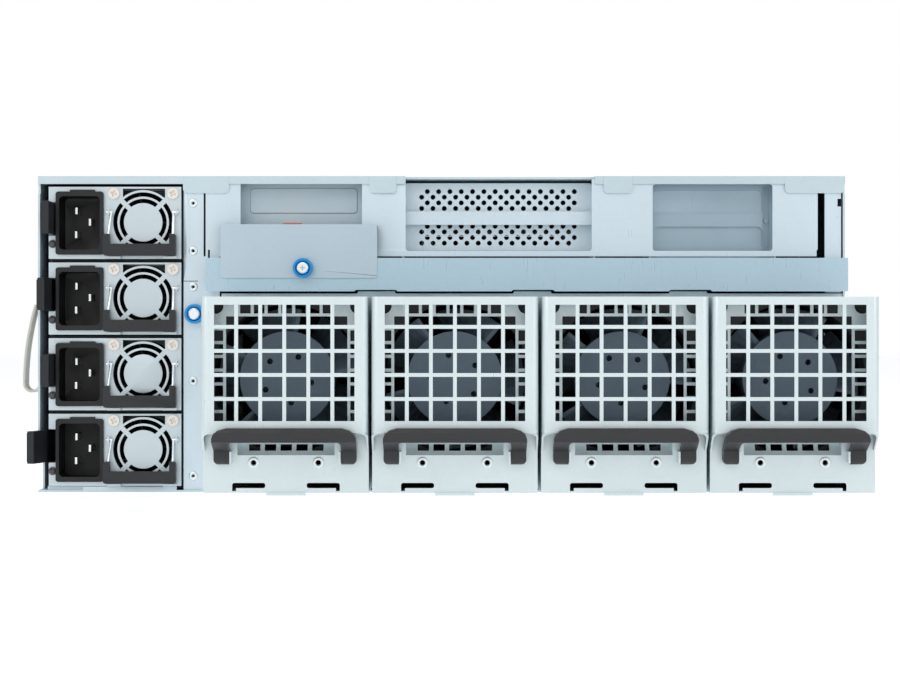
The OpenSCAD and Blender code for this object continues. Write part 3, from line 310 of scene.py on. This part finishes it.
def psu_zinc(name, base):
    """Power supply case: plated face, painted shade inside, nickel screw heads on the face."""
    m = Mat(name, metal=0.55)
    y, x = m.axis("Y"), m.axis("X")
    height = m.math("MULTIPLY", PSU_PITCH, m.math("FRACT", m.math(
        "DIVIDE", m.math("SUBTRACT", m.axis("Z"), PSU_Z), PSU_PITCH)))

    def between(v, lo, hi):
        return m.math("MULTIPLY", m.math("GREATER_THAN", v, lo), m.math("LESS_THAN", v, hi))

    # Painted shade: the inner walls near the face, darkened to near-black and made less metallic
    inside_shade = m.math("MULTIPLY", between(y, REAR + 1.6, REAR + 60), m.math(
        "MULTIPLY", between(x, PSU_X + 1.05, PSU_X + 72.4), between(height, 1.05, 38.9)))
    screw = m.math("MULTIPLY", m.math("LESS_THAN", y, REAR - 0.1),
                   m.math("GREATER_THAN", height, 32.0))
    lines = m.noise(240, 3, 0.6, stretch=(1, 14, 14))
    tone = m.mix(m.span(m.noise(9, 4, 0.6), 0.3, 0.7), shade(base, 0.95), shade(base, 1.03))
    tone = m.mix(m.span(lines, 0.35, 0.65, 0, 0.35), tone, shade(base, 0.93))
    tone = m.mix(m.math("MULTIPLY", m.worn(0.0006), 0.6), tone, shade(base, 1.15))
    tone = m.mix(screw, tone, m.mix(m.worn(0.0004), (0.80, 0.76, 0.70), (0.30, 0.20, 0.16)))
    # Paints the shade inside the case
    tone = m.mix(inside_shade, tone, m.mix(lines, (0.006, 0.007, 0.008), (0.014, 0.016, 0.018)))
    m.colour(tone)
    m.metallic(m.math("MULTIPLY", 0.55, m.math("SUBTRACT", 1, inside_shade)))
    m.roughness(m.span(m.noise(55, 4, 0.65), 0.3, 0.7, 0.35, 0.50))
    m.bump(lines, 0.10, 0.00006)
    return m.m


def grip_and_wire(name, base, wire):
    """Moulded grip below, bare bent wire above: told apart by the height within a power supply."""
    m = Mat(name, specular=0.4)
    height = m.math("FRACT", m.math("DIVIDE", m.math("SUBTRACT", m.axis("Z"), PSU_Z), PSU_PITCH))
    bare = m.span(height, 13.75/PSU_PITCH, 13.85/PSU_PITCH)
    tone = m.mix(m.span(m.noise(22, 3, 0.5), 0.3, 0.7), shade(base, 0.92), shade(base, 1.10))
    tone = m.mix(m.math("MULTIPLY", m.worn(0.0005), 0.55), tone, shade(base, 1.9))
    lines = m.noise(500, 3, 0.6, stretch=(20, 20, 1))
    metal = m.mix(m.span(lines, 0.3, 0.7), shade(wire, 0.9), wire)
    m.colour(m.mix(bare, tone, metal))
    m.metallic(m.math("MULTIPLY", bare, 0.9))
    m.roughness(m.span(bare, 0, 1, 0.45, 0.24))
    m.bump(m.cells(1400), 0.2, 0.00005)
    return m.m


STEEL = (0.66, 0.765, 0.83)
MATS = {
    "case": zinc("zinc_case", (0.60, 0.70, 0.76), grain=(1, 14, 14)),
    "cover": zinc("zinc_cover", (0.58, 0.69, 0.74), grain=(1, 14, 14)),
    "plate": zinc("zinc_plate", STEEL, grain=(14, 14, 1)),
    # Painted shade: a darker copy of the zinc for the crossbar, recessed under the plate above it
    "bar": zinc("zinc_bar_painted_shade", (0.47, 0.62, 0.71), grain=(1, 14, 14), rough=0.36),
    "small_cover": zinc("zinc_small_cover", (0.50, 0.61, 0.68), grain=(1, 14, 14)),
    "fan_face": zinc("zinc_fan_face", (0.69, 0.78, 0.80), grain=(14, 14, 1)),
    "psu_face": psu_zinc("zinc_psu_face", (0.60, 0.68, 0.72)),
    # Painted highlight: a paler, glossier copy of the zinc for the raised rims round holes
    "rim": zinc("zinc_rim_painted_highlight", (0.84, 0.90, 0.92), grain=(14, 14, 1), rough=0.30),
    # Painted shade: a darker copy of the zinc for the blank plate set back in its window
    "recess": zinc("zinc_recess_painted_shade", (0.50, 0.60, 0.66), grain=(1, 14, 14)),
    # Painted shade: a much darker copy of the zinc for the slot bracket set back in its recess
    "bracket": zinc("zinc_bracket_painted_shade", (0.36, 0.47, 0.54), grain=(1, 14, 14)),
    "inner": zinc("zinc_inner", (0.62, 0.72, 0.77), grain=(1, 14, 14)),
    # Painted shade: near-black zinc for sheet that sits in shade, the power supply cage and the
    # duct wall
    "dark_case": zinc("zinc_shadowed", (0.012, 0.014, 0.016), metal=0.2, rough=0.6),
    "bright": bright_metal("plated_steel", (0.80, 0.84, 0.86)),
    "inlet": inlet_plastic("inlet_black", (0.012, 0.0135, 0.0155)),
    "latch": plastic("latch_black", (0.012, 0.014, 0.017), rough=0.35),
    "handle": grip_and_wire("handle_grey", (0.019, 0.021, 0.024), (0.85, 0.88, 0.90)),
    "bail": plastic("bail_grey", (0.026, 0.026, 0.030), rough=0.42),
    "hub": plastic("hub_slate", (0.105, 0.145, 0.185), rough=0.5),
    "frame": plastic("fan_frame_black", (0.012, 0.014, 0.016), rough=0.55),
    "disc_rotor": plastic("small_rotor_black", (0.010, 0.011, 0.012), rough=0.5),
    "blue": plastic("ring_blue", (0.016, 0.33, 0.74), rough=0.35, edge=1.15),
    "orange": plastic("tab_orange", (0.82, 0.20, 0.09), rough=0.5, edge=1.1),
    "shroud": plastic("card_shroud", (0.018, 0.019, 0.021), rough=0.4),
    "carrier": plastic("carrier_grey", (0.045, 0.048, 0.052), rough=0.42),
    "front": zinc("front_coated", (0.050, 0.054, 0.060), metal=0.1, rough=0.5, edge=1.5),
    "board": board("mask_green", (0.008, 0.055, 0.030), (0.02, 0.12, 0.06)),
    "board_dark": board("mask_dark", (0.006, 0.020, 0.016), (0.02, 0.07, 0.05)),
    "memory": board("memory_mask", (0.010, 0.070, 0.035), (0.03, 0.15, 0.07)),
    "fins": bright_metal("fin_aluminium", (0.78, 0.79, 0.80), rough=0.3),
    "lens": plastic("lamp_lens", (0.035, 0.040, 0.045), rough=0.12, grain=300, depth=0.05,
                    coat=0.6, edge=1.1),
    "strap": webbing("strap_tape", (0.76, 0.755, 0.70)),
}


# ------------------------------------------------------------ CAD node finish

def crisp(node, width):
    """Joins the node's split corners and rounds its sharp edges a little."""
    weld = node.modifiers.new("weld", "WELD")
    weld.merge_threshold = 2e-6
    flat = node.modifiers.new("flat", "DECIMATE")
    flat.decimate_type = "DISSOLVE"
    flat.angle_limit = math.radians(0.6)
    bevel = node.modifiers.new("edge", "BEVEL")
    bevel.width = width
    bevel.segments = 2
    bevel.limit_method = "ANGLE"
    bevel.angle_limit = math.radians(35)
    bevel.use_clamp_overlap = True
    bevel.harden_normals = False


FINISH = {
    "chassis_base": "case", "rear_panel": "plate", "psu_cage": "dark_case", "fan_cage": "inner",
    "crossbar": "bar", "deck_tray": "inner", "top_cover": "cover", "cover_plate": "small_cover",
    "captive_screws": "blue", "io_blank": "recess", "pull_tab": "orange", "slot_covers": "plate",
    "slot_bracket": "bracket", "mainboard": "board", "cpu_heatsinks": "fins",
    "memory_modules": "memory", "gpu_board": "board_dark", "gpu_cards": "shroud",
    "front_panel": "front", "rack_ears": "front", "power_button": "bright",
    "drive_1": "carrier", "drive_2": "carrier",
}
for n in range(1, 5):
    FINISH.update({
        f"psu_{n}_case": "psu_face", f"psu_{n}_inlet": "inlet",
        f"psu_{n}_rotor": "disc_rotor",
        f"psu_{n}_handle": "handle", f"psu_{n}_latch": "latch",
        f"fan_{n}_housing": "fan_face", f"fan_{n}_frame": "frame", f"fan_{n}_rotor": "hub",
        f"fan_{n}_bail": "bail",
    })


def paint(obj, key):
    obj.data.materials.clear()
    obj.data.materials.append(MATS[key])


# Width of the rounded edges in millimetres, for finishes where it isn't 0.18
EDGE_WIDTH = {"bail": 0.9, "handle": 0.45, "inlet": 0.3, "latch": 0.3}
# Nodes left with the plain edges they have
PLAIN = ("gpu_cards", "memory_modules", "cpu_heatsinks", "front_panel", "slot_covers")
for name, key in FINISH.items():
    paint(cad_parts[name], key)
    if name not in PLAIN:
        crisp(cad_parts[name], EDGE_WIDTH.get(key, 0.18)*MM)


# ------------------------------------------------------------ small fittings

def piece(name, bm, key, body):
    """Makes an object from a bmesh in millimetres, painted and riding on a body."""
    bmesh.ops.scale(bm, vec=(MM, MM, MM), verts=bm.verts)
    mesh = bpy.data.meshes.new(name)
    bm.to_mesh(mesh)
    bm.free()
    obj = bpy.data.objects.new(name, mesh)
    scene.collection.objects.link(obj)
    paint(obj, key)
    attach(obj, body)
    return obj


def block(bm, lo, hi, bevel=0.0):
    """Adds a box from corner to corner, its edges rounded if bevel is given."""
    size = [h - l for l, h in zip(lo, hi)]
    mid = [(h + l)/2 for l, h in zip(lo, hi)]
    made = bmesh.ops.create_cube(
        bm, size=1, matrix=Matrix.Translation(mid) @ Matrix.Diagonal((*size, 1)))
    if bevel:
        edges = list({e for v in made["verts"] for e in v.link_edges})
        bmesh.ops.bevel(bm, geom=edges, offset=bevel, segments=2, affect="EDGES", profile=0.5)


def disc(bm, at, radius, length, segments=40, top=None):
    """Adds a round boss along -Y: at is the middle of its back, top the radius of its front."""
    turn = Matrix.Rotation(math.radians(90), 4, "X")
    mid = Vector(at) - Vector((0, length/2, 0))
    bmesh.ops.create_cone(bm, cap_ends=True, segments=segments, radius1=radius,
                          radius2=radius if top is None else top, depth=length,
                          matrix=Matrix.Translation(mid) @ turn)


def dress_psu(n):
    """Bare blades of the inlet and the lens of the status lamp."""
    x0, z0 = PSU_X, PSU_Z + (4 - n)*PSU_PITCH
    body = f"psu_{n}"
    bm = bmesh.new()
    for x, z in BLADES:
        block(bm, (x0 + x - 0.75, REAR + 4.6, z0 + z - 1.95),
              (x0 + x + 0.75, REAR + 18.05, z0 + z + 1.95), 0.3)
    piece(f"psu_{n}_blades", bm, "bright", body)
    bm = bmesh.new()
    disc(bm, (x0 + LAMP_X, REAR - 0.05, z0 + LAMP_Z), 2.35, 0.75, 32, 2.2)
    ball = bmesh.ops.create_uvsphere(bm, u_segments=24, v_segments=12, radius=1.75)
    bmesh.ops.scale(bm, vec=(1, 0.7, 1), verts=ball["verts"])
    bmesh.ops.translate(bm, vec=(x0 + LAMP_X, REAR - 0.75, z0 + LAMP_Z), verts=ball["verts"])
    piece(f"psu_{n}_lens", bm, "lens", body)


def dress_fan(n):
    """Shallow ring pressed into the hub's face, seen through the grille."""
    x0, z0 = FAN_X + (n - 1)*FAN_PITCH, FAN_Z + FAN_AXIS_Z
    bm = bmesh.new()
    outer = bmesh.ops.create_circle(bm, segments=64, radius=HUB_RING_R)["verts"]
    made = bmesh.ops.extrude_edge_only(bm, edges=list({e for v in outer for e in v.link_edges}))
    verts = [g for g in made["geom"] if isinstance(g, bmesh.types.BMVert)]
    bmesh.ops.scale(bm, vec=(0.93, 0.93, 1), verts=verts)
    place = Matrix.Translation((x0, FAN_Y + HUB_FACE_Y, z0))
    turn = place @ Matrix.Rotation(math.radians(90), 4, "X")
    bmesh.ops.transform(bm, matrix=turn, verts=bm.verts)
    obj = piece(f"fan_{n}_hub_ring", bm, "hub", f"fan_{n}_rotor")
    thick = obj.modifiers.new("thick", "SOLIDIFY")
    thick.thickness = 0.25*MM
    thick.offset = 0


def screw_head(name, at):
    """A pan head with a cross recess, standing out along -Y from the middle of its back."""
    x, y, z = at
    radius = SCREW_HEAD_R
    bm = bmesh.new()
    disc(bm, (x, y, z), radius, 0.5, 40, radius*0.8)
    obj = piece(name, bm, "bright", "chassis")
    cut = bmesh.new()
    for w, h in ((radius*0.95, radius*0.22), (radius*0.22, radius*0.95)):
        block(cut, (x - w/2, y - 0.9, z - h/2), (x + w/2, y - 0.15, z + h/2))
    bmesh.ops.scale(cut, vec=(MM, MM, MM), verts=cut.verts)
    mesh = bpy.data.meshes.new(name + "_cut")
    cut.to_mesh(mesh)
    cut.free()
    tool = bpy.data.objects.new(name + "_cut", mesh)
    scene.collection.objects.link(tool)
    bpy.context.view_layer.update()
    mod = obj.modifiers.new("cross", "BOOLEAN")
    mod.operation = "DIFFERENCE"
    mod.use_self = True
    mod.object = tool
    bpy.context.view_layer.update()
    graph = bpy.context.evaluated_depsgraph_get()
    shaped = bpy.data.meshes.new_from_object(obj.evaluated_get(graph))
    obj.modifiers.clear()
    old = obj.data
    obj.data = shaped
    bpy.data.meshes.remove(old)
    bpy.data.objects.remove(tool)


def rims(name, places, outer, inner, high, key, body):
    """Raised rims round small holes: each place is the middle of the rim's back."""
    bm = bmesh.new()
    count = 32
    profile = ((outer, 0), (outer - 0.25, high), (inner + 0.35, high), (inner, 0.12*high))
    for x, y, z in places:
        rows = [[bm.verts.new((x + r*math.cos(a), y - d, z + r*math.sin(a))) for r, d in profile]
                for a in (math.tau*k/count for k in range(count))]
        for p, q in zip(rows, rows[1:] + rows[:1]):
            for i in range(len(profile) - 1):
                bm.faces.new((p[i], p[i + 1], q[i + 1], q[i]))
            bm.faces.new((p[-1], p[0], q[0], q[-1]))
    bmesh.ops.recalc_face_normals(bm, faces=bm.faces)
    obj = piece(name, bm, key, body)
    for face in obj.data.polygons:
        face.use_smooth = True


def duct_wall():
    """Sheet that carries the power supply divider forward to the baffle in front of the cards,
    painted near-black as painted shade.
    """
    bm = bmesh.new()
    block(bm, (-142.6, -62, 14), (-141.6, 37, 124), 0.2)
    piece("duct_wall", bm, "dark_case", "chassis")


for n in range(1, 5):
    dress_psu(n)
    dress_fan(n)
    fan_mid = FAN_X + (n - 1)*FAN_PITCH
    # The rims carry the painted-highlight zinc
    rims(f"fan_{n}_rims", [(fan_mid + x, FAN_Y + 11.62, FAN_Z + 15.6) for x in (-16.6, 16.6)],
         2.9, 1.3, 0.35, "rim", f"fan_{n}")
rims("strip_rims", [(-138.0, REAR + 1.48, z) for z in (160.5, 134.0, 114.0, 61.7, 9.0)],
     2.5, 0.75, 0.4, "rim", "chassis")
duct_wall()
screw_head("cover_screw_head", COVER_SCREW)
screw_head("strip_screw_head", STRIP_SCREW)


# -------------------------------------------------------------- cable strap

def strap_line(count=14):
    """Middle line of the tape in X and Z: down one side, round the foot, up the other."""
    r, top, taper, half_t = 5.0, 44.5, 0.62, 0.7
    lean = taper*r

    def side(sign, u):
        return (sign*(r*(1 - taper*u*u) - half_t) - lean*(1 - u*u), u*(top - half_t))

    pts = [side(-1, 1 - k/count) for k in range(count)]
    pts += [((r - half_t)*math.cos(a) - lean, (r - half_t)*math.sin(a))
            for a in (math.pi*(1 + k/18) for k in range(19))]
    pts += [side(1, (k + 1)/count) for k in range(count)]
    return pts


def make_strap():
    """The strap of hook-and-loop tape that hangs in a loop beside the power supplies."""
    x0, y0, z0, width, thick = -226.2, REAR + 10.1, 60.0, 11.8, 1.4
    line = strap_line()
    steps = 10
    bm = bmesh.new()
    rows = []
    for k, (x, z) in enumerate(line):
        # The tape cups a little across its width
        cup = 0.10*math.sin(math.pi*k/(len(line) - 1))
        rows.append([
            bm.verts.new((x0 + x + cup*(1 - (2*i/steps - 1)**2) - cup/2,
                          y0 + width*i/steps, z0 + z))
            for i in range(steps + 1)])
    for a, b in zip(rows, rows[1:] + rows[:1]):
        for i in range(steps):
            bm.faces.new((a[i], a[i + 1], b[i + 1], b[i]))
    bmesh.ops.recalc_face_normals(bm, faces=bm.faces)
    obj = piece("strap", bm, "strap", "chassis")
    solid = obj.modifiers.new("thick", "SOLIDIFY")
    solid.thickness = thick*MM
    solid.offset = 0
    edge = obj.modifiers.new("edge", "BEVEL")
    edge.width, edge.segments, edge.angle_limit = 0.3*MM, 2, math.radians(50)
    for face in obj.data.polygons:
        face.use_smooth = True
    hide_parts("cable_strap")


make_strap()


# ------------------------------------------------------------ floor and light

def make_stage():
    """Pale floor, a white surround seen by the camera and by gloss, soft lamps."""
    bpy.ops.mesh.primitive_plane_add(size=14, location=(0, 2.0, -0.0021))
    floor = bpy.context.object
    floor.name = "floor"
    m = Mat("floor_pale", rough=0.9, specular=0.1)
    m.colour(m.mix(m.span(m.noise(1.3, 3), 0.3, 0.7), (0.93, 0.93, 0.93), (0.96, 0.96, 0.96)))
    m.p.inputs["Emission Color"].default_value = (1, 1, 1, 1)
    m.p.inputs["Emission Strength"].default_value = 0.58
    floor.data.materials.append(m.m)

    world = bpy.data.worlds.new("studio")
    world.use_nodes = True
    scene.world = world
    t = world.node_tree
    t.nodes.clear()
    out = t.nodes.new("ShaderNodeOutputWorld")
    soft = t.nodes.new("ShaderNodeBackground")
    seen = t.nodes.new("ShaderNodeBackground")
    soft.inputs["Color"].default_value = (0.94, 0.97, 1.0, 1)
    soft.inputs["Strength"].default_value = 0.40
    seen.inputs["Color"].default_value = (1, 1, 1, 1)
    seen.inputs["Strength"].default_value = 1.0
    path = t.nodes.new("ShaderNodeLightPath")
    rays = t.nodes.new("ShaderNodeMath")
    rays.operation = "MAXIMUM"
    more = t.nodes.new("ShaderNodeMath")
    more.operation = "MAXIMUM"
    t.links.new(path.outputs["Is Camera Ray"], rays.inputs[0])
    t.links.new(path.outputs["Is Glossy Ray"], rays.inputs[1])
    t.links.new(rays.outputs[0], more.inputs[0])
    t.links.new(path.outputs["Is Transmission Ray"], more.inputs[1])
    mix = t.nodes.new("ShaderNodeMixShader")
    t.links.new(more.outputs[0], mix.inputs[0])
    t.links.new(soft.outputs[0], mix.inputs[1])
    t.links.new(seen.outputs[0], mix.inputs[2])
    t.links.new(mix.outputs[0], out.inputs["Surface"])

    def lamp(name, at, to, size, watts, tint=(1, 1, 1)):
        data = bpy.data.lights.new(name, "AREA")
        data.shape = "RECTANGLE"
        data.size, data.size_y = size
        data.energy = watts
        data.color = tint
        o = bpy.data.objects.new(name, data)
        scene.collection.objects.link(o)
        o.location = at
        o.rotation_euler = (Vector(to) - Vector(at)).to_track_quat("-Z", "Y").to_euler()

    lamp("key", (-0.9, -2.2, 1.5), (0, -0.3, 0.09), (1.4, 1.0), 9)
    lamp("fill", (1.3, -2.0, 0.9), (0, -0.3, 0.09), (1.2, 1.2), 4, (0.95, 0.98, 1.0))
    lamp("top", (0, 0.1, 1.9), (0, -0.1, 0.1), (1.6, 1.6), 10)


make_stage()
scene.view_settings.view_transform = "Standard"
